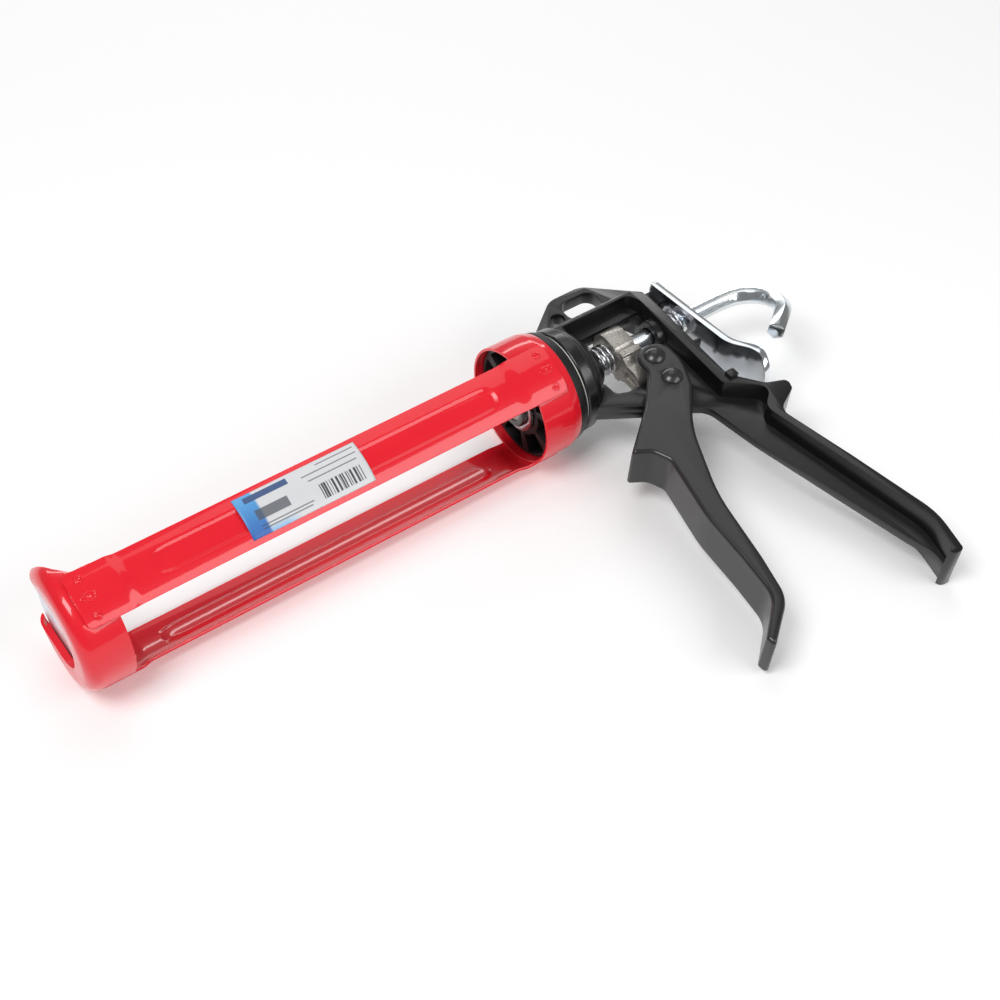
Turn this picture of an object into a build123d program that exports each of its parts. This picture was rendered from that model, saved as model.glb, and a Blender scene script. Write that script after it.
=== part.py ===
from build123d import *
from math import asin, atan2, cos, degrees, hypot, radians, sin
import os

# A skeleton caulking gun for a 310 ml cartridge, with a swivelling barrel and a friction drive.
# It is drawn upright: X runs back along the barrel, Y up and away from the handle, and Z to the
# gun's left. lie_down() then rolls every piece about X, so that the gun rests on its right side.
# All lengths are in millimetres and all angles in degrees.

# Barrel: two sheet rails clinched to a front cap and a rear ring.
CAP_R = 26.1
CAP_FRONT = -1.6
CAP_LENGTH = 17.5
CAP_SHEET = 1.2
CAP_EDGE_R = 5.4
SLOT_HALF = 14.5
LIP_SHEET = 1.2
LIP_BACK = 1.2
RAIL_SHEET = 1.1
RAIL_FIT = 0.05
RAIL_FRONT = 4.8
RAIL_BACK = 219.2
RAIL_CENTRE = -19.3
RAIL_SPAN = 49.5
JOGGLE_DEPTH = 0.9
JOGGLE_FRONT = (23.0, 27.5)
JOGGLE_BACK = (196.5, 203.0)
BEAD_FRONT = 36.0
BEAD_BACK = 190.0
BEAD_HALF_ANGLE = 11.0
BEAD_DEPTH = 1.0
CLINCH_ANGLES = (-3.7, -20.0, -36.0)
CLINCH_X = (10.2, 214.5)
RING_FRONT = 204.9
RING_BACK = 223.4
RING_BACK_R = 25.0
RING_BEND = 219.6

# Swivel between the barrel and the body.
SPIGOT_R = 9.5
SPIGOT_FRONT = 205.0
HUB_FRONT = 208.6
FLANGE_R = 25.0
FLANGE_BACK_R = 23.2
FLANGE_BACK = 228.2
WASHER_R = 22.3
WASHER_BACK = 229.1
BAND_R = 23.1
BAND_BACK = 234.6
FRONT_WALL = 243.2
SPRING_BOSS_BACK = 247.0
SPRING_BORE_R = 7.2
SPRING_BORE_FRONT = 236.0
BUSH_R = 6.6
BUSH_BACK = 212.0
RUNNING_FIT = 0.06
PART_GAP = 0.35

# Push rod: a hexagonal bar with its back end bent into a hook. The hook is a node of its own,
# flush with the straight run, so that its collision pieces follow the bend.
ROD_AF = 7.1
ROD_CORNER_R = ROD_AF / 2 / cos(radians(30))
ROD_FRONT = 7.6
HOOK_START = 314.5
HOOK_ENTRY_R = 47.0
HOOK_ENTRY_TURN = 11.0
HOOK_R = 15.4
HOOK_TURN = 142.0
HOOK_TAIL = 14.5
HOOK_LEAN = 70.0
ROD_HOLE_R = ROD_CORNER_R + PART_GAP

# Casting of the body and the handle.
WEB_HALF = 1.9
RIM_HALF = 10.8
BAR_HALF = 3.8
TAB_HALF = 3.3
RIM_TOP = 18.9
RIM_TOP_SHEET = 1.7
REAR_WALL_FRONT = 281.6
REAR_WALL_BACK = 286.3
HANDLE_END_Y = -162.0

# Trigger and its pins.
TRIGGER_HALF = 10.4
CHEEK = 1.8
PIVOT = (266.2, -29.4)
DRIVE = (267.2, -16.4)
PIN_R = 2.5
PIN_HEAD_R = 4.8
PIN_HEAD_HIGH = 2.4
SLEEVE_R = 4.4

# Gripper block and release lever.
BLOCK_FRONT = 256.9
BLOCK_BACK = 266.9
LUG_BACK = 262.4
LEVER_SHEET = 3.0
LEVER_HALF = 10.0

# The gun rolls about X until the handle's end is as low as the barrel's side.
RAIL_R = CAP_R + RAIL_FIT + RAIL_SHEET
LIE_TILT = degrees(asin(RAIL_R / hypot(HANDLE_END_Y, RIM_HALF)) - atan2(RIM_HALF, -HANDLE_END_Y))


def lie_down(shape):
    """Turn a shape from the upright gun to the gun lying on its right side."""
    return Rot(LIE_TILT, 0, 0) * shape


def closed_face(corners):
    """Face inside a closed run of (x, y, corner radius)."""
    points = [(x, y) for x, y, _ in corners]
    radii = [r for _, _, r in corners]
    return make_face(FilletPolyline(*points, radius=radii, close=True).edges())


def plate(face, half, centre=0.0):
    """Flat face thickened to both sides of the plane Z = centre."""
    return Pos(0, 0, centre) * extrude(face, amount=half, both=True)


def slab(x0, x1, y0, y1, z0, z1):
    """Box between two corners."""
    size = (x1 - x0, y1 - y0, z1 - z0)
    return Pos((x0 + x1) / 2, (y0 + y1) / 2, (z0 + z1) / 2) * Box(*size)


def disc(radius, x0, x1, y=0.0, z=0.0):
    """Cylinder along X from x0 to x1."""
    return Pos((x0 + x1) / 2, y, z) * Rot(0, 90, 0) * Cylinder(radius, x1 - x0)


def tube(outer, inner, x0, x1):
    """Tube along X from x0 to x1."""
    return disc(outer, x0, x1) - disc(inner, x0 - 1, x1 + 1)


def turned(corners):
    """Solid of revolution about X of a closed run of (x, radius, corner radius)."""
    return revolve(closed_face(corners), Axis.X, 360)


def sector(corners, centre, span):
    """Part turn about X of a closed (x, radius, corner radius) run, centred at an angle.

    The angle counts from +Z towards +Y.
    """
    swept = revolve(closed_face(corners), Axis.X, span)
    return Rot(90 - centre - span / 2, 0, 0) * swept


def pin_along_z(centre, radius, half):
    """Cylinder along Z through a point of the side view."""
    return Pos(centre[0], centre[1], 0) * Cylinder(radius, 2 * half)


def hexagon_bar(across_flats, x0, x1):
    """Hexagonal bar along X, with a flat that faces the hook's lean."""
    corner_r = across_flats / 2 / cos(radians(30))
    section = Plane.YZ * Rot(0, 0, -HOOK_LEAN) * RegularPolygon(corner_r, 6, major_radius=True)
    return Pos(x0, 0, 0) * extrude(section, amount=x1 - x0)


def coil(mean_r, wire_r, x0, x1, turns):
    """Round-wire compression spring along X, its wire ends inside x0 and x1."""
    height = x1 - x0 - 2 * wire_r
    path = Helix(pitch=height / turns, height=height, radius=mean_r)
    section = Plane(path @ 0, z_dir=path % 0) * Circle(wire_r)
    wire = sweep(section, path=path, is_frenet=True)
    return Pos(x0 + wire_r, 0, 0) * Rot(0, 90, 0) * wire


# ---------------------------------------------------------------- barrel

def front_cap():
    """Drawn cup whose slot, open at the top, takes the cartridge's shoulder and nozzle."""
    inner_r = CAP_R - CAP_SHEET
    cup = turned([
        (CAP_FRONT, 0, 0),
        (CAP_FRONT, CAP_R, CAP_EDGE_R),
        (CAP_LENGTH, CAP_R, 0),
        (CAP_LENGTH, inner_r, 0),
        (CAP_FRONT + CAP_SHEET, inner_r, CAP_EDGE_R - CAP_SHEET),
        (CAP_FRONT + CAP_SHEET, 0, 0),
    ])
    lip_r = SLOT_HALF + LIP_SHEET
    lip_top = 15.0
    cup += disc(lip_r, CAP_FRONT + CAP_SHEET / 2, LIP_BACK)
    cup += slab(CAP_FRONT + CAP_SHEET / 2, LIP_BACK, 0, lip_top, -lip_r, lip_r)
    slot = disc(SLOT_HALF, CAP_FRONT - 5, LIP_BACK + 1)
    slot += slab(CAP_FRONT - 5, CAP_LENGTH + 1, 0, CAP_R + 1, -SLOT_HALF, SLOT_HALF)
    cup -= slot
    mouth = closed_face([
        (CAP_LENGTH + 5, 3.7, 0),
        (9.5, 3.7, 3),
        (5.2, 9.5, 4),
        (1.4, 18.5, 0),
        (1.4, 30, 0),
        (CAP_LENGTH + 5, 30, 0),
    ])
    return cup - plate(mouth, 30)


def rail(side):
    """One sheet rail: a curved strip, set in between its end tabs and stiffened by a bead.

    side is 1 for the left rail and -1 for the right one.
    """
    low = CAP_R + RAIL_FIT
    mid = low - JOGGLE_DEPTH
    inside = [
        (RAIL_FRONT, low),
        (JOGGLE_FRONT[0], low),
        (JOGGLE_FRONT[1], mid),
        (JOGGLE_BACK[0], mid),
        (JOGGLE_BACK[1], low),
        (RAIL_BACK, low),
    ]
    soft = 3.0
    section = [(x, r, 0 if x in (RAIL_FRONT, RAIL_BACK) else soft) for x, r in inside]
    section += [(x, r + RAIL_SHEET, s) for x, r, s in reversed(section)]
    strip = sector(section, RAIL_CENTRE, RAIL_SPAN)
    ends = strip.faces().filter_by(Axis.X)
    corners = [e for f in ends for e in f.edges() if abs(e.length - RAIL_SHEET) < 0.01]
    strip = fillet(corners, 3.0)
    groove = [
        (BEAD_FRONT + 1, mid + RAIL_SHEET - BEAD_DEPTH, 0.9),
        (BEAD_FRONT - 1, mid + RAIL_SHEET + 1, 0),
        (BEAD_BACK + 1, mid + RAIL_SHEET + 1, 0),
        (BEAD_BACK - 1, mid + RAIL_SHEET - BEAD_DEPTH, 0.9),
    ]
    swell = [
        (BEAD_FRONT + 1, mid - BEAD_DEPTH, 0.9),
        (BEAD_FRONT - 1, mid + RAIL_SHEET / 2, 0),
        (BEAD_BACK + 1, mid + RAIL_SHEET / 2, 0),
        (BEAD_BACK - 1, mid - BEAD_DEPTH, 0.9),
    ]
    wall_angle = degrees(RAIL_SHEET / mid)
    strip += sector(swell, RAIL_CENTRE, 2 * (BEAD_HALF_ANGLE + wall_angle))
    strip -= sector(groove, RAIL_CENTRE, 2 * BEAD_HALF_ANGLE)
    for x in CLINCH_X:
        for angle in CLINCH_ANGLES:
            y = (low + RAIL_SHEET) * sin(radians(angle))
            z = (low + RAIL_SHEET) * cos(radians(angle))
            strip -= Pos(x, y, z) * Sphere(1.0)
    return strip if side > 0 else mirror(strip, Plane.XY)


def label():
    """Paper label wrapped on the left rail."""
    label_front = 74.0
    label_back = 128.0
    label_centre = -19.3
    label_span = 39.0
    paper = 0.15
    low = RAIL_R - JOGGLE_DEPTH + 0.03
    section = [
        (label_front, low, 0),
        (label_back, low, 0),
        (label_back, low + paper, 0),
        (label_front, low + paper, 0),
    ]
    return sector(section, label_centre, label_span)


def rear_ring():
    """Drawn sheet ring that holds the rails' back ends and the swivel collar."""
    return turned([
        (RING_FRONT, CAP_R, 0.3),
        (RING_BEND, CAP_R, 5),
        (RING_BACK, RING_BACK_R, 0),
        (RING_BACK, RING_BACK_R - CAP_SHEET, 0),
        (RING_BEND, CAP_R - CAP_SHEET, 5),
        (RING_FRONT, CAP_R - CAP_SHEET, 0.3),
    ])


def swivel_collar():
    """Moulded hub of the barrel, with pockets in its front face and a flange behind the ring."""
    drum_r = CAP_R - CAP_SHEET - RAIL_FIT
    collar = turned([
        (HUB_FRONT, SPIGOT_R + RUNNING_FIT, 0),
        (HUB_FRONT, drum_r, 0.8),
        (RING_BEND - 1, drum_r, 0),
        (RING_BACK + RAIL_FIT, RING_BACK_R - CAP_SHEET - 0.3, 0),
        (RING_BACK + RAIL_FIT, FLANGE_R, 0.3),
        (FLANGE_BACK - 1.6, FLANGE_BACK_R + 0.9, 3),
        (FLANGE_BACK, FLANGE_BACK_R, 0.5),
        (FLANGE_BACK, SPIGOT_R + RUNNING_FIT, 0),
    ])
    pockets = 8
    pocket_out = 23.0
    pocket_in = 14.5
    pocket_deep = 7.0
    pocket = [
        (HUB_FRONT - 1, pocket_in, 0),
        (HUB_FRONT - 1, pocket_out, 0),
        (HUB_FRONT + pocket_deep, pocket_out, 1.5),
        (HUB_FRONT + pocket_deep, pocket_in, 1.5),
    ]
    for i in range(pockets):
        collar -= sector(pocket, i * 360 / pockets, 34)
    return collar


def swivel_washer():
    """Thrust washer between the collar's flange and the casting."""
    return tube(WASHER_R, SPIGOT_R + 0.3, FLANGE_BACK + RAIL_FIT, WASHER_BACK)


def retaining_ring():
    """Split spring ring in the spigot's groove, which holds the barrel on."""
    ring = tube(12.0, SPIGOT_R - 0.75, SPIGOT_FRONT + 1.9, SPIGOT_FRONT + 3.2)
    return ring - slab(200, 215, 0, 20, -2.5, 2.5)


# ---------------------------------------------------------------- body casting

BODY_OUTLINE = [
    (233.0, RIM_TOP, 0),
    (281.4, RIM_TOP, 4),
    (REAR_WALL_BACK, 13.0, 3),
    (REAR_WALL_BACK, -41.5, 3),
    (296.9, -53.8, 6),
    (306.0, -57.2, 2.5),
    (304.5, -62.0, 2.5),
    (292.5, -68.5, 5),
    (301.0, -102.8, 150),
    (310.0, -143.0, 32),
    (306.2, HANDLE_END_Y, 2),
    (299.9, HANDLE_END_Y, 3),
    (301.3, -153.0, 12),
    (297.8, -142.0, 30),
    (290.9, -116.8, 200),
    (278.8, -70.6, 60),
    (274.0, -46.0, 9),
    (233.3, -22.8, 0),
]


def rim_inside():
    """Space inside the rim, which stays open towards the trigger."""
    return closed_face([
        (200, RIM_TOP - RIM_TOP_SHEET, 0),
        (278.9, RIM_TOP - RIM_TOP_SHEET, 3.5),
        (REAR_WALL_FRONT, 12.0, 2),
        (REAR_WALL_FRONT, -44.0, 2.5),
        (297.5, -56.2, 4),
        (288.3, -64.0, 6),
        (297.5, -103.6, 150),
        (306.2, -142.8, 28),
        (302.7, HANDLE_END_Y + 2.6, 2),
        (200, HANDLE_END_Y + 2.6, 0),
    ])


def front_turret():
    """Round front of the casting: band, shoulder, spring boss and the spigot of the swivel."""
    turret = turned([
        (SPIGOT_FRONT, 0, 0),
        (SPIGOT_FRONT, SPIGOT_R, 0.8),
        (WASHER_BACK + RAIL_FIT, SPIGOT_R, 0),
        (WASHER_BACK + RAIL_FIT, BAND_R, 1.0),
        (BAND_BACK, BAND_R - 0.3, 1.0),
        (BAND_BACK + 1.0, 21.7, 0.8),
        (237.2, 21.0, 3),
        (241.0, 17.6, 3),
        (FRONT_WALL, 12.8, 1.5),
        (FRONT_WALL, 0, 0),
    ])
    turret += disc(9.8, FRONT_WALL - 1, SPRING_BOSS_BACK)
    groove = tube(SPIGOT_R + 1, SPIGOT_R - 0.8, SPIGOT_FRONT + 1.8, SPIGOT_FRONT + 3.3)
    return turret - groove


def hang_tab():
    """Flat tab on top of the body, with a long slot and a round hole."""
    tab = plate(closed_face([
        (229.5, 17.0, 0),
        (229.5, 20.3, 0),
        (245.5, 32.4, 10),
        (252.6, 37.7, 10),
        (269.3, 37.7, 10),
        (291.0, 20.6, 1),
        (291.0, 12.0, 0),
        (240.0, 12.0, 0),
    ]), TAB_HALF)
    slot = closed_face([(254.2, 33.9, 5), (272.4, 33.9, 5), (272.4, 22.2, 5), (254.2, 22.2, 5)])
    tab -= plate(slot, 2 * TAB_HALF)
    return tab - pin_along_z((249.6, 26.9), 3.2, 2 * TAB_HALF)


def lever_lug():
    """Neck behind the rear wall, whose knob keeps the release lever's top in place."""
    neck = slab(REAR_WALL_BACK - 1, 297.2, 11.4, 18.9, -TAB_HALF, TAB_HALF)
    knob_face = Plane.YZ.offset(296.4) * Pos(16.0, 0) * Rectangle(9.6, 13)
    tip_face = Plane.YZ.offset(302.0) * Pos(15.6, 0) * Rectangle(3.5, 4.5)
    return neck + loft([knob_face, tip_face])


def frame_body():
    """One casting: turret, web, rim, hanging tab, lower bar, pivot boss and handle."""
    outline = closed_face(BODY_OUTLINE)
    window = closed_face([
        (244.5, 11.5, 5),
        (280.6, 11.5, 5),
        (280.6, -12.0, 4),
        (274.5, -22.2, 6),
        (249.5, -22.4, 4),
        (243.9, -19.0, 4),
    ])
    body = plate(outline - window, WEB_HALF)
    body += plate(outline - rim_inside(), RIM_HALF)
    lower_bar = closed_face([
        (236.0, -12.4, 0),
        (243.6, -12.9, 2),
        (244.3, -20.6, 3),
        (249.5, -22.6, 4),
        (259.0, -22.4, 2),
        (265.0, -40.6, 0),
        (233.3, -22.8, 0),
    ])
    body += plate(lower_bar, BAR_HALF)
    boss_half = TRIGGER_HALF - CHEEK - PART_GAP
    body += pin_along_z(PIVOT, 6.6, boss_half)
    body += disc(8.0, 278.6, REAR_WALL_FRONT + 1)
    body += front_turret()
    body += hang_tab()
    body += lever_lug()
    body += slab(234.0, 243.2, 7.4, 10.4, -RIM_HALF, RIM_HALF)
    body += slab(239.0, 243.4, 10.0, RIM_TOP, -RIM_HALF, RIM_HALF)
    stop_rib = slab(REAR_WALL_BACK - 1, 290.6, -19.4, -17.8, -RIM_HALF + 1.5, RIM_HALF - 1.5)
    body += stop_rib
    for z in (-10.5, 10.5):
        body += slab(REAR_WALL_BACK - 1, 289.4, -44.6, -40.8, z - 2, z + 2)
    body -= disc(ROD_HOLE_R, SPIGOT_FRONT - 1, SPRING_BOSS_BACK + 1)
    body -= disc(BUSH_R, SPIGOT_FRONT - 1, BUSH_BACK)
    body -= disc(SPRING_BORE_R, SPRING_BORE_FRONT, SPRING_BOSS_BACK + 1)
    body -= disc(ROD_HOLE_R, 276.0, REAR_WALL_BACK + 1)
    return body - pin_along_z(PIVOT, PIN_R + RUNNING_FIT, 2 * RIM_HALF)


def rod_guide_bush():
    """Moulded bush that guides the rod in the front end of the spigot."""
    return tube(BUSH_R - RAIL_FIT, ROD_CORNER_R + 0.08, SPIGOT_FRONT + 0.5, BUSH_BACK - RAIL_FIT)


# ---------------------------------------------------------------- rod and piston

def push_rod():
    """Straight run of the hexagonal rod, with a turned spigot at its front for the piston."""
    spigot_r = 2.6
    rod = hexagon_bar(ROD_AF, ROD_FRONT, HOOK_START)
    return rod + disc(spigot_r, 1.3, ROD_FRONT + 1)


def rod_hook():
    """Back end of the rod, bent into a hook: a gentle entry, a tight bend and a short tail."""
    lean = Vector(0, -sin(radians(HOOK_LEAN)), cos(radians(HOOK_LEAN)))
    along = Vector(1, 0, 0)
    hook_plane = Plane(origin=(0, 0, 0), x_dir=along, z_dir=along.cross(lean))
    entry = JernArc((HOOK_START, 0), (1, 0), HOOK_ENTRY_R, HOOK_ENTRY_TURN)
    bend = JernArc(entry @ 1, entry % 1, HOOK_R, HOOK_TURN - HOOK_ENTRY_TURN)
    tail = Line(bend @ 1, (bend @ 1) + (bend % 1) * HOOK_TAIL)
    path = hook_plane * Wire([*entry.edges(), *bend.edges(), *tail.edges()])
    section = Plane.YZ.offset(HOOK_START) * Rot(0, 0, -HOOK_LEAN) * RegularPolygon(
        ROD_CORNER_R, 6, major_radius=True
    )
    return sweep(section, path=path)


def piston_disc():
    """Pressed steel disc that pushes the cartridge's base."""
    return turned([
        (1.7, 2.65, 0),
        (1.7, 23.2, 0.4),
        (3.2, 23.2, 0.4),
        (3.2, 2.65, 0),
    ])


def piston_washer():
    """Backing washer between the disc and the nut."""
    return tube(9.0, 2.65, 3.25, 4.45)


def piston_nut():
    """Nut that clamps the disc on the rod's spigot."""
    return hexagon_bar(10.0, 4.5, 7.5) - disc(2.65, 4, 8)


# ---------------------------------------------------------------- gripper and trigger

def gripper_block():
    """Sintered block that tilts on the rod to grip it, with a lug for the trigger's pin."""
    half = 8.0
    waist = 1.2
    upper = closed_face([
        (-8.5, -half, 1),
        (-5.6, -half, 0),
        (-4.6, waist - half, 0),
        (-3.6, waist - half, 0),
        (-2.6, -half, 0),
        (11.0, -half, 7),
        (11.0, half, 7),
        (-2.6, half, 0),
        (-3.6, half - waist, 0),
        (-4.6, half - waist, 0),
        (-5.6, half, 0),
        (-8.5, half, 1),
    ])
    lug = closed_face([
        (-7.0, -7.5, 0),
        (-7.0, 7.5, 0),
        (-12.0, 5.0, 3),
        (-21.0, 5.0, 4.6),
        (-21.0, -5.0, 4.6),
        (-12.0, -5.0, 3),
    ])
    cross = Plane.YZ.offset(BLOCK_FRONT)
    block = extrude(cross * upper, amount=BLOCK_BACK - BLOCK_FRONT)
    block += extrude(cross * lug, amount=LUG_BACK - BLOCK_FRONT)
    dish = cross * Pos(-15.6, 0) * SlotOverall(8.4, 4.4)
    block -= extrude(dish, amount=1.2, both=True)
    return block - disc(ROD_HOLE_R, BLOCK_FRONT - 1, BLOCK_BACK + 1)


def front_side(point):
    """True on the trigger's finger side, between the flare and the tip."""
    on_flare = point.Y > -58 and point.Y < -50 and point.X < 236
    on_grip = point.Y <= -58 and point.X < 237.5 - 0.17 * max(0, -110 - point.Y)
    return on_flare or on_grip


def trigger():
    """Channel-shaped trigger: two cheeks, a finger wall in front and a closed tip."""
    profile = closed_face([
        (259.4, -9.8, 7.5),
        (276.2, -9.8, 7.5),
        (276.2, -25.0, 25),
        (270.5, -38.5, 20),
        (256.5, -55.0, 60),
        (243.0, -88.0, 80),
        (237.5, -121.0, 60),
        (233.0, -141.0, 16),
        (214.6, -155.6, 1.2),
        (213.9, -150.7, 1.2),
        (228.6, -137.5, 14),
        (230.4, -118.0, 60),
        (231.5, -94.0, 60),
        (237.3, -64.5, 5),
        (233.8, -57.3, 7),
        (226.2, -53.2, 1.2),
        (248.0, -35.0, 60),
        (259.4, -22.0, 8),
    ])
    finger_wall = 2.0
    hollow = offset(profile, amount=-finger_wall)
    hollow += Pos(3.5, 0) * hollow
    body = plate(profile, TRIGGER_HALF)
    finger_edges = [
        e for e in body.edges()
        if abs(abs(e.center().Z) - TRIGGER_HALF) < 0.01 and front_side(e.center())
    ]
    body = fillet(finger_edges, 1.8)
    body -= plate(hollow, TRIGGER_HALF - CHEEK)
    body -= slab(250, 290, -30, 0, -TRIGGER_HALF + CHEEK, TRIGGER_HALF - CHEEK)
    body -= slab(235, 290, -36, 0, -BAR_HALF - 0.5, BAR_HALF + 0.5)
    for centre in (PIVOT, DRIVE):
        body -= pin_along_z(centre, PIN_R + 0.02, 2 * TRIGGER_HALF)
    return body


def riveted_pin(centre):
    """Round pin through both cheeks, with a domed head at each end."""
    pin = pin_along_z(centre, PIN_R, TRIGGER_HALF + 0.05)
    dome_r = (PIN_HEAD_R ** 2 + PIN_HEAD_HIGH ** 2) / (2 * PIN_HEAD_HIGH)
    for side in (-1, 1):
        middle = side * (TRIGGER_HALF + 0.05 + PIN_HEAD_HIGH - dome_r)
        dome = Pos(centre[0], centre[1], middle) * Sphere(dome_r)
        start = side * (TRIGGER_HALF + 0.05 + PIN_HEAD_HIGH / 2)
        pin += dome & Pos(centre[0], centre[1], start) * Cylinder(PIN_HEAD_R, PIN_HEAD_HIGH)
    return pin


def drive_sleeve():
    """Hardened sleeve on the drive pin, which pushes the gripper's lug."""
    half = TRIGGER_HALF - CHEEK - 0.1
    sleeve = pin_along_z(DRIVE, SLEEVE_R, half)
    return sleeve - pin_along_z(DRIVE, PIN_R + 0.02, 2 * half)


def release_lever():
    """Zinc plated lever behind the body: hung at its top, with a thumb tab at the bottom."""
    spine = [(292.4, 17.9, 0), (298.3, -27.0, 14), (306.8, -37.0, 9), (304.4, -47.0, 0)]
    side = [(x + LEVER_SHEET, y + 0.4, r) for x, y, r in reversed(spine)]
    lever = plate(closed_face(spine + side), LEVER_HALF)
    face_on = closed_face([
        (18.6, -LEVER_HALF, 1.5),
        (18.6, LEVER_HALF, 1.5),
        (-47.0, LEVER_HALF, 9.5),
        (-47.0, -LEVER_HALF, 9.5),
    ])
    lever &= Pos(280, 0, 0) * extrude(Plane.YZ * face_on, amount=40)
    lever -= slab(285, 300, 10.6, 20, -TAB_HALF - PART_GAP, TAB_HALF + PART_GAP)
    return lever - hexagon_bar(ROD_AF + 3.0, 285, 305)


def drive_spring():
    """Spring that pushes the gripper back after each stroke."""
    return coil(6.1, 0.75, SPRING_BORE_FRONT + 1.3, BLOCK_FRONT - 0.05, 7)


def spring_seat():
    """Washer at the bottom of the spring's bore."""
    return tube(SPRING_BORE_R - 0.1, ROD_HOLE_R, SPRING_BORE_FRONT + 0.05, SPRING_BORE_FRONT + 1.25)


def release_spring():
    """Spring that tilts the release lever on the rod, so that the rod stays put."""
    return coil(5.9, 0.65, REAR_WALL_BACK + 0.05, 293.9, 3)


PIECES = {
    "front_cap": front_cap(),
    "left_rail": rail(1),
    "right_rail": rail(-1),
    "barrel_label": label(),
    "rear_ring": rear_ring(),
    "swivel_collar": swivel_collar(),
    "swivel_washer": swivel_washer(),
    "retaining_ring": retaining_ring(),
    "frame_body": frame_body(),
    "rod_guide_bush": rod_guide_bush(),
    "push_rod": push_rod(),
    "rod_hook": rod_hook(),
    "piston_disc": piston_disc(),
    "piston_washer": piston_washer(),
    "piston_nut": piston_nut(),
    "gripper_block": gripper_block(),
    "trigger": trigger(),
    "pivot_pin": riveted_pin(PIVOT),
    "drive_pin": riveted_pin(DRIVE),
    "drive_sleeve": drive_sleeve(),
    "release_lever": release_lever(),
    "drive_spring": drive_spring(),
    "spring_seat": spring_seat(),
    "release_spring": release_spring(),
}

os.makedirs("parts", exist_ok=True)
for name, shape in PIECES.items():
    export_step(lie_down(shape), f"parts/{name}.step")
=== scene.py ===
import bmesh
import bpy
from math import hypot, pi, radians, sin, cos, sqrt
from mathutils import Matrix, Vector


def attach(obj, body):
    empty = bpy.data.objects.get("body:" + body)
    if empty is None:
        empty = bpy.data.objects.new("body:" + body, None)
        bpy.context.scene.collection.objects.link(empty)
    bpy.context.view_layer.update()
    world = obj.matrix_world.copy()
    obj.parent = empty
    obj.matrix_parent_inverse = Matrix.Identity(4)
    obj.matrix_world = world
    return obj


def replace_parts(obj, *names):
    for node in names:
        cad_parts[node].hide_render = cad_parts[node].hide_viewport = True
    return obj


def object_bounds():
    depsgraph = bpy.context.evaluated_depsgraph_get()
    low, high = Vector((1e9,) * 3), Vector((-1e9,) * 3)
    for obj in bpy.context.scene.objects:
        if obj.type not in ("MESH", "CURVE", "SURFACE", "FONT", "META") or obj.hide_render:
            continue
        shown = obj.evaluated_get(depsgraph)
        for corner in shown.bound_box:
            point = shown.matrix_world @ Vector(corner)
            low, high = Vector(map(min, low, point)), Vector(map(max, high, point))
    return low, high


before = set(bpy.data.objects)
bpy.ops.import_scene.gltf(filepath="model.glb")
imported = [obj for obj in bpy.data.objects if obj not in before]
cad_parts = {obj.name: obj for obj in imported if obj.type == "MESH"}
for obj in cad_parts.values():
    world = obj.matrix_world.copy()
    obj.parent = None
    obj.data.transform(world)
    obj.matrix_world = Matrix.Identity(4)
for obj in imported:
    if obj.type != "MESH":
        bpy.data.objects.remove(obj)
cad_low, cad_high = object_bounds()


# ---------------------------------------------------------------- floor, light and camera
# The gun lies on its right side on a pale floor. A softbox above its front end lights it, with
# a panel in front, a long strip behind and a weak fill, whose reflections shape the enamel.

floor_gap = 0.0002
floor_width = 9
floor_grey = 0.88
floor_place = (0.15, -0.1, cad_low[2] - floor_gap)
bpy.ops.mesh.primitive_plane_add(size=1)
floor = bpy.context.object
floor.name = "floor"
floor.data.transform(Matrix.Translation(floor_place) @ Matrix.Scale(floor_width, 4))

floor_paint = bpy.data.materials.new("pale_floor")
floor_paint.use_nodes = True
floor_shader = floor_paint.node_tree.nodes["Principled BSDF"]
floor_shader.inputs["Base Color"].default_value = (floor_grey, floor_grey, floor_grey, 1)
floor_shader.inputs["Roughness"].default_value = 0.85
floor_shader.inputs["Emission Color"].default_value = (1, 1, 1, 1)
floor_shader.inputs["Emission Strength"].default_value = 0.16
floor.data.materials.append(floor_paint)

sky = bpy.data.worlds.new("studio")
sky.use_nodes = True
sky.node_tree.nodes["Background"].inputs["Color"].default_value = (1, 1, 1, 1)
sky.node_tree.nodes["Background"].inputs["Strength"].default_value = 0.22
bpy.context.scene.world = sky


def softbox(name, place, aim, width, height, watts):
    """Rectangular lamp at a place, aimed at a point."""
    lamp = bpy.data.lights.new(name, "AREA")
    lamp.shape = "RECTANGLE"
    lamp.size = width
    lamp.size_y = height
    lamp.energy = watts
    holder = bpy.data.objects.new(name, lamp)
    bpy.context.collection.objects.link(holder)
    holder.location = place
    ray = Matrix.Translation(aim).translation - holder.location
    holder.rotation_euler = ray.to_track_quat("-Z", "Y").to_euler()


softbox("overhead_softbox", (-0.45, -0.15, 1.15), (0.15, -0.03, 0), 0.6, 0.6, 10)
softbox("front_panel", (0.62, -0.86, 0.66), (0.12, -0.02, 0.02), 0.9, 0.45, 4.6)
softbox("back_strip", (0.62, 1.0, 0.5), (0.12, 0, 0.02), 1.3, 0.14, 3.2)
softbox("high_fill", (0.7, 0.5, 1.1), (0.2, -0.05, 0), 0.7, 0.7, 1.6)

lens = bpy.data.cameras.new("camera")
lens.sensor_width = 36
lens.lens = 64.13
lens.clip_start = 0.01
camera = bpy.data.objects.new("camera", lens)
bpy.context.collection.objects.link(camera)
camera.location = (-0.10831, -0.42797, 0.51599)
camera.rotation_euler = (radians(42.779), radians(-0.148), radians(-35.617))
bpy.context.scene.camera = camera
bpy.context.scene.view_settings.view_transform = "Standard"


# ---------------------------------------------------------------- enamelled barrel
# Front cap, two rails and rear ring: pressed steel sheet, clinched together, then dipped in
# glossy red enamel, which rounds every edge and pools into a slight orange peel.

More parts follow.
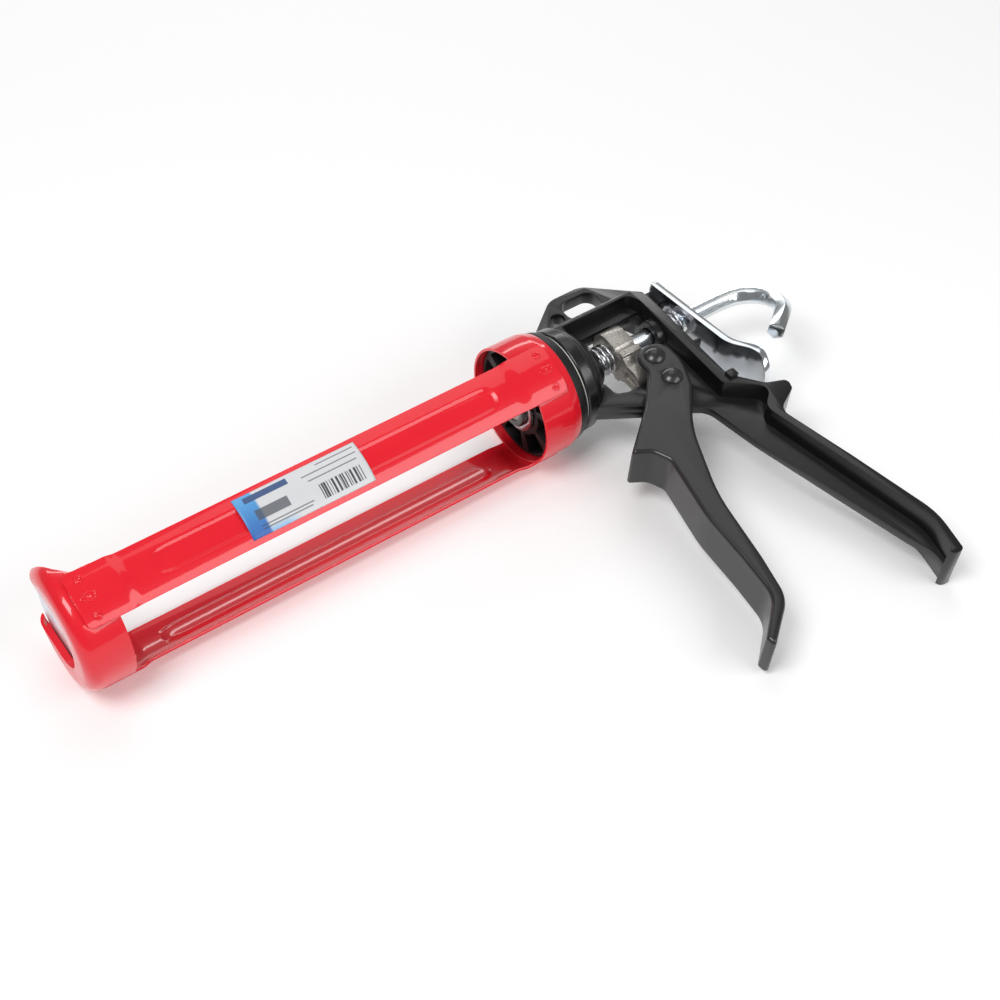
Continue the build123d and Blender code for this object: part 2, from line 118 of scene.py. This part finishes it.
class Link:
    """A shader socket that can be used in sums. Each operation adds its Math node."""

    def __init__(self, tree, socket):
        self.tree = tree
        self.socket = socket

    def maths(self, operation, *values):
        node = self.tree.nodes.new("ShaderNodeMath")
        node.operation = operation
        for slot, value in zip(node.inputs, values):
            join(self.tree, slot, value)
        return Link(self.tree, node.outputs[0])

    def __add__(self, other):
        return self.maths("ADD", self, other)

    def __radd__(self, other):
        return self.maths("ADD", other, self)

    def __sub__(self, other):
        return self.maths("SUBTRACT", self, other)

    def __rsub__(self, other):
        return self.maths("SUBTRACT", other, self)

    def __mul__(self, other):
        return self.maths("MULTIPLY", self, other)

    def __rmul__(self, other):
        return self.maths("MULTIPLY", other, self)

    def __truediv__(self, other):
        return self.maths("DIVIDE", self, other)

    def __rtruediv__(self, other):
        return self.maths("DIVIDE", other, self)

    def above(self, edge, softness):
        """0 below an edge and 1 above it, over a soft step."""
        return ((self - edge) / softness + 0.5).clamped()

    def between(self, low, high, softness):
        """1 between two edges."""
        return self.above(low, softness) * (1 - self.above(high, softness))

    def clamped(self):
        low = self.maths("MAXIMUM", self, 0.0)
        return self.maths("MINIMUM", low, 1.0)


def join(tree, slot, value):
    """Links a socket to a slot, or sets the slot's value."""
    if isinstance(value, Link):
        tree.links.new(value.socket, slot)
    else:
        slot.default_value = value


class Finish:
    """A material made round one Principled shader."""

    def __init__(self, name, **values):
        self.material = bpy.data.materials.new(name)
        self.material.use_nodes = True
        self.tree = self.material.node_tree
        self.shader = self.tree.nodes["Principled BSDF"]
        self.feed(**values)

    def feed(self, **values):
        for name, value in values.items():
            join(self.tree, self.shader.inputs[name.replace("_", " ").title()], value)

    def node(self, kind, settings=None, values=None, output=0):
        """One node: its settings first, then the values or links of its sockets."""
        made = self.tree.nodes.new("ShaderNode" + kind)
        for name, value in (settings or {}).items():
            setattr(made, name, value)
        for name, value in (values or {}).items():
            join(self.tree, made.inputs[name], value)
        return Link(self.tree, made.outputs[output])

    def place(self, scale=(1, 1, 1)):
        """Object coordinates, scaled."""
        point = self.node("TexCoord", output="Object")
        return self.node("Mapping", values={"Vector": point, "Scale": scale})

    def noise(self, per_metre, detail=3.0, scale=(1, 1, 1), roughness=0.5):
        """Noise with a number of lumps for each metre."""
        return self.node("TexNoise", values={
            "Vector": self.place(scale), "Scale": per_metre, "Detail": detail,
            "Roughness": roughness,
        })

    def blend(self, amount, low, high):
        """Colour between two colours."""
        return self.node("Mix", {"data_type": "RGBA"}, {
            "Factor": amount, "A": (*low, 1) if isinstance(low, tuple) else low,
            "B": (*high, 1) if isinstance(high, tuple) else high,
        }, output="Result")

    def bump(self, height, depth, strength=1.0, under=None):
        """Relief of a depth in metres."""
        values = {"Height": height, "Distance": depth, "Strength": strength}
        if under is not None:
            values["Normal"] = under
        return self.node("Bump", values=values)


enamel = Finish("red_enamel", Coat_Weight=0.75, Coat_Roughness=0.035)
enamel.shader.inputs["Specular IOR Level"].default_value = 0.2
enamel_cloud = enamel.noise(45, 2)
enamel_peel = enamel.noise(420, 2)
enamel_dust = enamel.noise(2600, 1).above(0.74, 0.04)
enamel.feed(
    Base_Color=enamel.blend(enamel_cloud, (0.8, 0.008, 0.022), (0.88, 0.014, 0.03)),
    Normal=enamel.bump(enamel_peel, 0.00006, 0.7, enamel.bump(enamel_dust, 0.00002, 0.5)),
    Roughness=0.27 + enamel_cloud * 0.1,
)


def finished(node, finish, body, edge=0.0003, crease=32, joined=None, seam=0.0):
    """A shown copy of a CAD node, with merged faces, a small rounded edge and its finish.

    joined is a second node that meets it flush at the station seam, and becomes one with it.
    """
    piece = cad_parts[node].copy()
    piece.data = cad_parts[node].data.copy()
    piece.name = node + "_shown"
    if joined:
        whole = bmesh.new()
        whole.from_mesh(piece.data)
        whole.from_mesh(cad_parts[joined].data)
        ends = [f for f in whole.faces if all(abs(v.co.x - seam) < 0.000005 for v in f.verts)]
        bmesh.ops.delete(whole, geom=ends, context="FACES")
        whole.to_mesh(piece.data)
        whole.free()
    for mark in [key for key in piece.keys() if key.startswith("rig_")]:
        del piece[mark]
    piece.parent = None
    piece.matrix_world = Matrix.Identity(4)
    bpy.context.collection.objects.link(piece)
    bpy.ops.object.select_all(action="DESELECT")
    piece.select_set(True)
    bpy.context.view_layer.objects.active = piece
    bpy.ops.object.mode_set(mode="EDIT")
    bpy.ops.mesh.select_all(action="SELECT")
    bpy.ops.mesh.remove_doubles(threshold=0.000004)
    bpy.ops.mesh.customdata_custom_splitnormals_clear()
    bpy.ops.mesh.dissolve_limited(angle_limit=radians(0.6))
    bpy.ops.object.mode_set(mode="OBJECT")
    if edge:
        rounding = piece.modifiers.new("rounded edges", "BEVEL")
        rounding.width = edge
        rounding.segments = 2
        rounding.limit_method = "ANGLE"
        rounding.angle_limit = radians(crease)
        bpy.ops.object.modifier_apply(modifier=rounding.name)
    bpy.ops.object.shade_smooth_by_angle(angle=radians(crease))
    piece.data.materials.clear()
    piece.data.materials.append(finish.material)
    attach(piece, body)
    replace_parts(piece, *([node, joined] if joined else [node]))


for sheet_part in ("front_cap", "rear_ring"):
    finished(sheet_part, enamel, "barrel", edge=0.00045)


# ---------------------------------------------------------------- rails
# Two curved strips of 1.1 mm sheet between the cap and the ring. Each is set in behind its end
# tabs, and a long bead with round ends is pressed into it from outside to stiffen it.

gun_tilt = radians(5.848)
rail_sheet = 0.0011
rail_ends = (0.0048, 0.2192)
rail_corner = 0.003
tab_radius = 0.02725
set_in = 0.0009
front_step_ends = (0.0225, 0.0275)
front_step_bow = 0.08
front_step_shift = 0.0006
back_step_ends = (0.1965, 0.2035)
rail_centre = radians(-19.3)
rail_half = radians(24.75)
bead_middle = 0.113
bead_long = 0.0765
bead_wide = 0.0052
bead_deep = 0.001
bead_slope = (-0.0012, 0.0008)
clinch_stations = (0.0102, 0.2145)
clinch_angles = (radians(-3.7), radians(-20.0), radians(-36.0))
pit_deep = 0.0005
pit_radius = 0.0009
fine_step = 0.0005
coarse_step = 0.0025
front_stations = 64
coarse_stations = 59
back_stations = 67
station_gap = 0.0006
rail_columns = 68


def eased(value, low, high):
    """0 below low and 1 above high, over a smooth step."""
    share = min(max((value - low) / (high - low), 0.0), 1.0)
    return share * share * (3 - 2 * share)


def rail_radius(x, angle):
    """Outer radius of a rail at a station and an angle from its left side."""
    around = (angle - rail_centre) * tab_radius
    front_step = eased(x + front_step_bow * abs(around) - front_step_shift, *front_step_ends)
    back_step = 1 - eased(x, *back_step_ends)
    inside = set_in * front_step * back_step
    past_end = max(abs(x - bead_middle) - bead_long + bead_wide, 0.0)
    edge = hypot(past_end, around) - bead_wide
    pressed = bead_deep * (1 - eased(edge, *bead_slope))
    for station in clinch_stations:
        for clinch in clinch_angles:
            off = hypot(x - station, (angle - clinch) * tab_radius)
            pressed += pit_deep * (1 - eased(off, 0.0, pit_radius))
    return tab_radius - inside - pressed


def rail(name, side):
    """One rail as a skin of stations and angles, then given its thickness."""
    front, back = rail_ends
    near_back = [back - i * fine_step for i in reversed(range(back_stations))]
    stations = [front + i * fine_step for i in range(front_stations)]
    stations += [stations[-1] + (i + 1) * coarse_step for i in range(coarse_stations)]
    stations = [x for x in stations if x < near_back[0] - station_gap] + near_back
    points = []
    for x in stations:
        from_end = min(x - front, back - x, rail_corner)
        cut = rail_corner - sqrt(rail_corner ** 2 - (rail_corner - from_end) ** 2)
        half = rail_half - cut / tab_radius
        for j in range(rail_columns + 1):
            angle = rail_centre + half * (2 * j / rail_columns - 1)
            radius = rail_radius(x, angle)
            turn = (angle if side > 0 else pi - angle) - gun_tilt
            points.append((x, radius * sin(turn), radius * cos(turn)))
    faces = []
    for i in range(len(stations) - 1):
        for j in range(rail_columns):
            a = i * (rail_columns + 1) + j
            face = (a, a + rail_columns + 1, a + rail_columns + 2, a + 1)
            faces.append(face if side > 0 else face[::-1])
    skin = bpy.data.meshes.new(name)
    skin.from_pydata(points, [], faces)
    piece = bpy.data.objects.new(name, skin)
    bpy.context.collection.objects.link(piece)
    sheet = piece.modifiers.new("sheet", "SOLIDIFY")
    sheet.thickness = rail_sheet
    sheet.offset = -1
    dipped = piece.modifiers.new("dipped edges", "BEVEL")
    dipped.width = 0.0003
    dipped.segments = 3
    dipped.angle_limit = radians(50)
    bpy.context.view_layer.update()
    ready = piece.evaluated_get(bpy.context.evaluated_depsgraph_get())
    piece.data = bpy.data.meshes.new_from_object(ready)
    piece.modifiers.clear()
    for face in piece.data.polygons:
        face.use_smooth = True
    piece.data.materials.append(enamel.material)
    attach(piece, "barrel")
    return piece


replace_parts(rail("left_rail_shown", 1), "left_rail")
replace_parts(rail("right_rail_shown", -1), "right_rail")


# ---------------------------------------------------------------- clinch marks
# Where the rails are clinched to the cap and the ring, the punch leaves raised rings of metal
# under the enamel, three in a row across each end of each rail.

def number(tree, operation, *values):
    """A Math node of a geometry tree."""
    node = tree.nodes.new("ShaderNodeMath")
    node.operation = operation
    for slot, value in zip(node.inputs, values):
        if isinstance(value, (int, float)):
            slot.default_value = value
        else:
            tree.links.new(value, slot)
    return node.outputs[0]


def socket_names(tree):
    """Identifier of each named input of a geometry tree."""
    return {
        item.name: item.identifier
        for item in tree.interface.items_tree
        if item.item_type == "SOCKET" and item.in_out == "INPUT"
    }


def clinch_tree(finish):
    """Three rings in a row round the barrel, the middle one stretched along it."""
    tree = bpy.data.node_groups.new("clinch marks", "GeometryNodeTree")
    tree.interface.new_socket("Geometry", in_out="OUTPUT", socket_type="NodeSocketGeometry")
    for name, value in (
        ("Station", clinch_stations[0]), ("First angle", 0.0), ("Angle step", 0.28),
        ("Barrel radius", tab_radius), ("Ring radius", 0.0015), ("Bead", 0.00034),
    ):
        made = tree.interface.new_socket(name, in_out="INPUT", socket_type="NodeSocketFloat")
        made.default_value = value
    given = tree.nodes.new("NodeGroupInput")
    result = tree.nodes.new("NodeGroupOutput")
    row = tree.nodes.new("GeometryNodeMeshLine")
    row.inputs["Count"].default_value = 3
    index = tree.nodes.new("GeometryNodeInputIndex")
    angle = number(tree, "MULTIPLY", index.outputs[0], given.outputs["Angle step"])
    angle = number(tree, "ADD", angle, given.outputs["First angle"])
    across = number(tree, "MULTIPLY", number(tree, "SINE", angle), given.outputs["Barrel radius"])
    up = number(tree, "MULTIPLY", number(tree, "COSINE", angle), given.outputs["Barrel radius"])
    spot = tree.nodes.new("ShaderNodeCombineXYZ")
    tree.links.new(given.outputs["Station"], spot.inputs["X"])
    tree.links.new(across, spot.inputs["Y"])
    tree.links.new(up, spot.inputs["Z"])
    moved = tree.nodes.new("GeometryNodeSetPosition")
    tree.links.new(row.outputs["Mesh"], moved.inputs["Geometry"])
    tree.links.new(spot.outputs[0], moved.inputs["Position"])
    turn = tree.nodes.new("ShaderNodeCombineXYZ")
    tree.links.new(number(tree, "MULTIPLY", angle, -1.0), turn.inputs["X"])
    ring = tree.nodes.new("GeometryNodeCurvePrimitiveCircle")
    ring.inputs["Resolution"].default_value = 24
    tree.links.new(given.outputs["Ring radius"], ring.inputs["Radius"])
    bead = tree.nodes.new("GeometryNodeCurvePrimitiveCircle")
    bead.inputs["Resolution"].default_value = 8
    tree.links.new(given.outputs["Bead"], bead.inputs["Radius"])
    hoop = tree.nodes.new("GeometryNodeCurveToMesh")
    tree.links.new(ring.outputs["Curve"], hoop.inputs["Curve"])
    tree.links.new(bead.outputs["Curve"], hoop.inputs["Profile Curve"])
    set_out = tree.nodes.new("GeometryNodeInstanceOnPoints")
    tree.links.new(moved.outputs["Geometry"], set_out.inputs["Points"])
    tree.links.new(hoop.outputs["Mesh"], set_out.inputs["Instance"])
    tree.links.new(turn.outputs[0], set_out.inputs["Rotation"])
    middle = number(tree, "COMPARE", index.outputs[0], 1.0, 0.1)
    stretch = tree.nodes.new("ShaderNodeCombineXYZ")
    tree.links.new(number(tree, "MULTIPLY_ADD", middle, 0.9, 1.0), stretch.inputs["X"])
    stretch.inputs["Y"].default_value = 1.0
    stretch.inputs["Z"].default_value = 1.0
    tree.links.new(stretch.outputs[0], set_out.inputs["Scale"])
    real = tree.nodes.new("GeometryNodeRealizeInstances")
    tree.links.new(set_out.outputs["Instances"], real.inputs["Geometry"])
    coated = tree.nodes.new("GeometryNodeSetMaterial")
    coated.inputs["Material"].default_value = finish.material
    tree.links.new(real.outputs["Geometry"], coated.inputs["Geometry"])
    tree.links.new(coated.outputs["Geometry"], result.inputs["Geometry"])
    return tree


def grown(name, tree, body, record_slot, **sizes):
    """Plain mesh from a geometry tree, riding on a body."""
    seed = bpy.data.objects.new(name + "_seed", bpy.data.meshes.new(name + "_seed"))
    bpy.context.collection.objects.link(seed)
    grower = seed.modifiers.new("grow", "NODES")
    grower.node_group = tree
    names = socket_names(tree)
    for size, value in sizes.items():
        grower[names[size.replace("_", " ")]] = value
    bpy.context.view_layer.update()
    ready = seed.evaluated_get(bpy.context.evaluated_depsgraph_get())
    mesh = bpy.data.meshes.new_from_object(ready)
    bpy.data.objects.remove(seed)
    piece = bpy.data.objects.new(name, mesh)
    bpy.context.collection.objects.link(piece)
    for face in mesh.polygons:
        face.use_smooth = True
    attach(piece, body)


marks = clinch_tree(enamel)
clinch_step = 0.282
left_first = clinch_angles[0]
for side, first, step in (
    ("left", left_first, -clinch_step), ("right", pi - left_first, clinch_step),
):
    for end, station in zip(("front", "back"), clinch_stations):
        grown(
            f"clinch_marks_{side}_{end}", marks, "barrel", "red_barrel",
            Station=station, First_angle=first - gun_tilt, Angle_step=step,
        )


# ---------------------------------------------------------------- label
# Self-adhesive paper label wrapped round the left rail: plain silver-white paper with a blue
# band at its front end, grey rules and a block of thin bars. It carries no words.

label_paper = Finish("printed_label", Coat_Weight=0.25, Coat_Roughness=0.2)
label_front = 0.074
label_length = 0.054
label_radius = 0.02646
label_low = radians(-38.8)
label_span = radians(39)
paper_thick = 0.0001
label_point = label_paper.node("TexCoord", output="Object")
label_x, label_y, label_z = (
    label_paper.node("SeparateXYZ", values={"Vector": label_point}, output=axis) for axis in "XYZ"
)
label_along = (label_x - label_front) / label_length
label_turn = label_y.maths("ARCTAN2", label_y, label_z)
label_up = (label_turn - (label_low - gun_tilt)) / label_span

paper_grain = label_paper.noise(900, 3)
print_colour = label_paper.blend(paper_grain, (0.66, 0.67, 0.69), (0.73, 0.74, 0.76))
blue_fade = label_up.above(0.45, 1.1)
blue = label_paper.blend(blue_fade, (0.015, 0.09, 0.42), (0.12, 0.42, 0.78))
band = 1 - label_along.above(0.15, 0.02)
lower_sweep = (1 - label_along.above(0.34, 0.12)) * (1 - label_up.above(0.1, 0.12))
print_colour = label_paper.blend(lower_sweep * 0.8, print_colour, (0.2, 0.48, 0.8))
print_colour = label_paper.blend(band, print_colour, blue)
ink = (0.06, 0.06, 0.07)
title_block = label_along.between(0.07, 0.42, 0.004) * label_up.between(0.78, 0.93, 0.012)
print_colour = label_paper.blend(title_block, print_colour, (0.05, 0.1, 0.24))
title_bars = label_along.between(0.1, 0.36, 0.004) * label_up.between(0.33, 0.56, 0.012)
print_colour = label_paper.blend(title_bars * 0.85, print_colour, (0.09, 0.1, 0.12))
for rule_start, rule_end, rule_height in (
    (0.66, 0.97, 0.9), (0.52, 0.97, 0.76), (0.55, 0.95, 0.62), (0.1, 0.52, 0.2), (0.1, 0.5, 0.13),
):
    rule = label_along.between(rule_start, rule_end, 0.004)
    rule = rule * label_up.between(rule_height - 0.014, rule_height + 0.014, 0.012)
    print_colour = label_paper.blend(rule * 0.75, print_colour, ink)
bar_noise = label_paper.node("TexNoise", {"noise_dimensions": "1D"}, {
    "W": label_along * 60, "Scale": 1.0, "Detail": 0.0,
})
bars = bar_noise.above(0.5, 0.06) * label_along.between(0.6, 0.94, 0.004)
bars = bars * label_up.between(0.12, 0.46, 0.012)
print_colour = label_paper.blend(bars, print_colour, ink)
label_paper.feed(
    Base_Color=print_colour,
    Normal=label_paper.bump(paper_grain, 0.00002, 0.4),
    Roughness=0.36 + paper_grain * 0.14,
)
label_rows, label_columns = 54, 40
label_points = []
for i in range(label_rows + 1):
    for j in range(label_columns + 1):
        along = label_front + label_length * i / label_rows
        turn = label_low + label_span * j / label_columns - gun_tilt
        label_points.append((along, label_radius * sin(turn), label_radius * cos(turn)))
label_faces = []
for i in range(label_rows):
    for j in range(label_columns):
        a = i * (label_columns + 1) + j
        label_faces.append((a, a + 1, a + label_columns + 2, a + label_columns + 1))
label_skin = bpy.data.meshes.new("barrel_label_shown")
label_skin.from_pydata(label_points, [], label_faces)
label = bpy.data.objects.new("barrel_label_shown", label_skin)
bpy.context.collection.objects.link(label)
paper = label.modifiers.new("paper", "SOLIDIFY")
paper.thickness = paper_thick
paper.offset = -1
bpy.context.view_layer.update()
label_ready = label.evaluated_get(bpy.context.evaluated_depsgraph_get())
label.data = bpy.data.meshes.new_from_object(label_ready)
label.modifiers.clear()
for face in label.data.polygons:
    face.use_smooth = True
label.data.materials.append(label_paper.material)
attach(label, "barrel")
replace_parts(label, "barrel_label")


# ---------------------------------------------------------------- swivel
# Collar of black moulded plastic that turns on the body's spigot, with a thin plastic thrust
# washer behind it and a split spring ring that keeps it on.

collar_plastic = Finish("black_moulding")
collar_grain = collar_plastic.noise(1500, 4)
collar_cloud = collar_plastic.noise(60, 2)
collar_plastic.feed(
    Base_Color=collar_plastic.blend(collar_cloud, (0.005, 0.005, 0.0055), (0.01, 0.01, 0.0105)),
    Normal=collar_plastic.bump(collar_grain, 0.00004, 0.6),
    Roughness=0.38 + collar_cloud * 0.14,
)
finished("swivel_collar", collar_plastic, "barrel", edge=0.00025)

pale_plastic = Finish("pale_moulding", Roughness=0.4)
pale_cloud = pale_plastic.noise(120, 3)
pale_plastic.feed(
    Base_Color=pale_plastic.blend(pale_cloud, (0.62, 0.61, 0.56), (0.7, 0.69, 0.65)),
    Normal=pale_plastic.bump(pale_plastic.noise(1800, 2), 0.00002, 0.5),
)
finished("swivel_washer", pale_plastic, "frame", edge=0.0001)
finished("rod_guide_bush", pale_plastic, "frame", edge=0.0002)

bright_wire = Finish("bright_spring_steel", Metallic=1.0)
wire_draw = bright_wire.noise(500, 3)
bright_wire.feed(
    Base_Color=bright_wire.blend(wire_draw, (0.5, 0.5, 0.52), (0.68, 0.68, 0.7)),
    Roughness=0.2 + wire_draw * 0.16,
    Normal=bright_wire.bump(wire_draw, 0.00001, 0.5),
)
finished("retaining_ring", bright_wire, "frame", edge=0.0001)


# ---------------------------------------------------------------- body and handle
# One aluminium die casting with the turret, web, rims, hanging tab and handle, sprayed with a
# fine black powder coat that leaves a soft satin sheen and slightly thin edges.

powder = Finish("black_powder_coat", Coat_Weight=0.35, Coat_Roughness=0.16)
powder_grain = powder.noise(2200, 4)
powder_wave = powder.noise(160, 3)
powder_cloud = powder.noise(35, 2)
powder.feed(
    Base_Color=powder.blend(powder_cloud, (0.0035, 0.0035, 0.004), (0.0075, 0.0075, 0.0085)),
    Normal=powder.bump(powder_grain, 0.00003, 0.55, powder.bump(powder_wave, 0.00008, 0.5)),
    Roughness=0.25 + powder_wave * 0.12,
)
finished("frame_body", powder, "frame", edge=0.0006)


# ---------------------------------------------------------------- push rod and piston
# Hexagonal drawn steel bar, bent to a hook at the back and clear zinc plated, so it is bluish
# with faint straw tints and fine draw lines. The pressed piston disc has the same plating.

def zinc_plate(name, low, high, lines, smooth, rough):
    """Bright zinc plating with draw lines along the barrel."""
    finish = Finish(name, Metallic=1.0)
    streak = finish.noise(900, 3, scale=(lines, 1, 1))
    tint = finish.noise(70, 2)
    scuff = finish.noise(420, 5, roughness=0.65)
    base = finish.blend(streak, low, high)
    finish.feed(
        Base_Color=finish.blend(tint.above(0.62, 0.3) * 0.3, base, (0.8, 0.76, 0.62)),
        Roughness=smooth + streak * rough + scuff.above(0.62, 0.2) * 0.04,
        Normal=finish.bump(streak, 0.000012, 0.6),
    )
    return finish


hook_start = 0.3145
rod_zinc = zinc_plate("zinc_plated_rod", (0.68, 0.73, 0.78), (0.8, 0.84, 0.87), 0.04, 0.12, 0.12)
finished("push_rod", rod_zinc, "rod", edge=0.0005, joined="rod_hook", seam=hook_start)
sheet_zinc = zinc_plate(
    "zinc_plated_sheet", (0.72, 0.79, 0.86), (0.82, 0.88, 0.93), 1.0, 0.38, 0.12,
)
finished("piston_disc", sheet_zinc, "rod", edge=0.0002)
nut_zinc = zinc_plate("zinc_plated_nut", (0.5, 0.51, 0.5), (0.66, 0.66, 0.62), 1.0, 0.24, 0.14)
finished("piston_washer", nut_zinc, "rod", edge=0.0002)
finished("piston_nut", nut_zinc, "rod", edge=0.0003)
finished("spring_seat", nut_zinc, "frame", edge=0.0001)


# ---------------------------------------------------------------- gripper block
# Pressed and sintered steel block that jams on the rod when its lug is pushed. Sintering
# leaves it beige-grey, matt and finely pitted. The pits carry painted shade and are darker
# than the lighter, smoother faces between them.

sinter = Finish("sintered_steel", Metallic=0.85)
sinter_pits = sinter.noise(1600, 5, roughness=0.7)
sinter_cloud = sinter.noise(110, 3)
# Mask is 0 in the pits and 1 on the faces: the pits are painted dark (0.2, 0.18, 0.15) as shade
# in the pores, and bumped in.
pore_shade_mask = sinter_pits.above(0.42, 0.08)
sinter_base = sinter.blend(sinter_cloud, (0.4, 0.375, 0.34), (0.56, 0.535, 0.5))
sinter.feed(
    Base_Color=sinter.blend(pore_shade_mask, (0.2, 0.18, 0.15), sinter_base),
    Roughness=0.5 - pore_shade_mask * 0.14,
    Normal=sinter.bump(pore_shade_mask, 0.00004, 0.7),
)
finished("gripper_block", sinter, "gripper", edge=0.0003)


# ---------------------------------------------------------------- trigger and pins
# Trigger pressed from steel sheet into a channel, coated satin black. It turns on a blackened
# pin riveted over at both ends; a second one above it carries the hardened drive sleeve.

trigger_coat = Finish("satin_black_coat", Coat_Weight=0.4, Coat_Roughness=0.18)
trigger_wave = trigger_coat.noise(130, 3)
trigger_grain = trigger_coat.noise(1700, 3)
trigger_ripple = trigger_coat.bump(trigger_wave, 0.00006, 0.4)
trigger_coat.feed(
    Base_Color=trigger_coat.blend(trigger_wave, (0.008, 0.008, 0.0095), (0.015, 0.015, 0.017)),
    Normal=trigger_coat.bump(trigger_grain, 0.00002, 0.5, trigger_ripple),
    Roughness=0.32 + trigger_wave * 0.12,
)
finished("trigger", trigger_coat, "trigger", edge=0.0006)

blackened = Finish("blackened_steel", Metallic=0.25, Coat_Weight=0.6, Coat_Roughness=0.12)
blackened_marks = blackened.noise(1100, 4)
blackened.feed(
    Base_Color=blackened.blend(blackened_marks, (0.012, 0.012, 0.014), (0.035, 0.035, 0.038)),
    Normal=blackened.bump(blackened_marks, 0.00005, 0.6),
    Roughness=0.28 + blackened_marks * 0.2,
)
finished("pivot_pin", blackened, "trigger", edge=0.0003)
finished("drive_pin", blackened, "trigger", edge=0.0003)
finished("drive_sleeve", bright_wire, "trigger", edge=0.0002)


# ---------------------------------------------------------------- release lever and springs
# Thumb lever pressed from steel sheet and brightly zinc plated, hung on the knob behind the
# body. Its spring tilts it on the rod; another spring behind the collar returns the gripper.

lever_zinc = zinc_plate(
    "zinc_plated_lever", (0.78, 0.82, 0.88), (0.86, 0.89, 0.93), 1.0, 0.12, 0.08,
)
finished("release_lever", lever_zinc, "release_lever", edge=0.0005)
finished("release_spring", bright_wire, "frame", edge=0)
finished("drive_spring", bright_wire, "frame", edge=0)
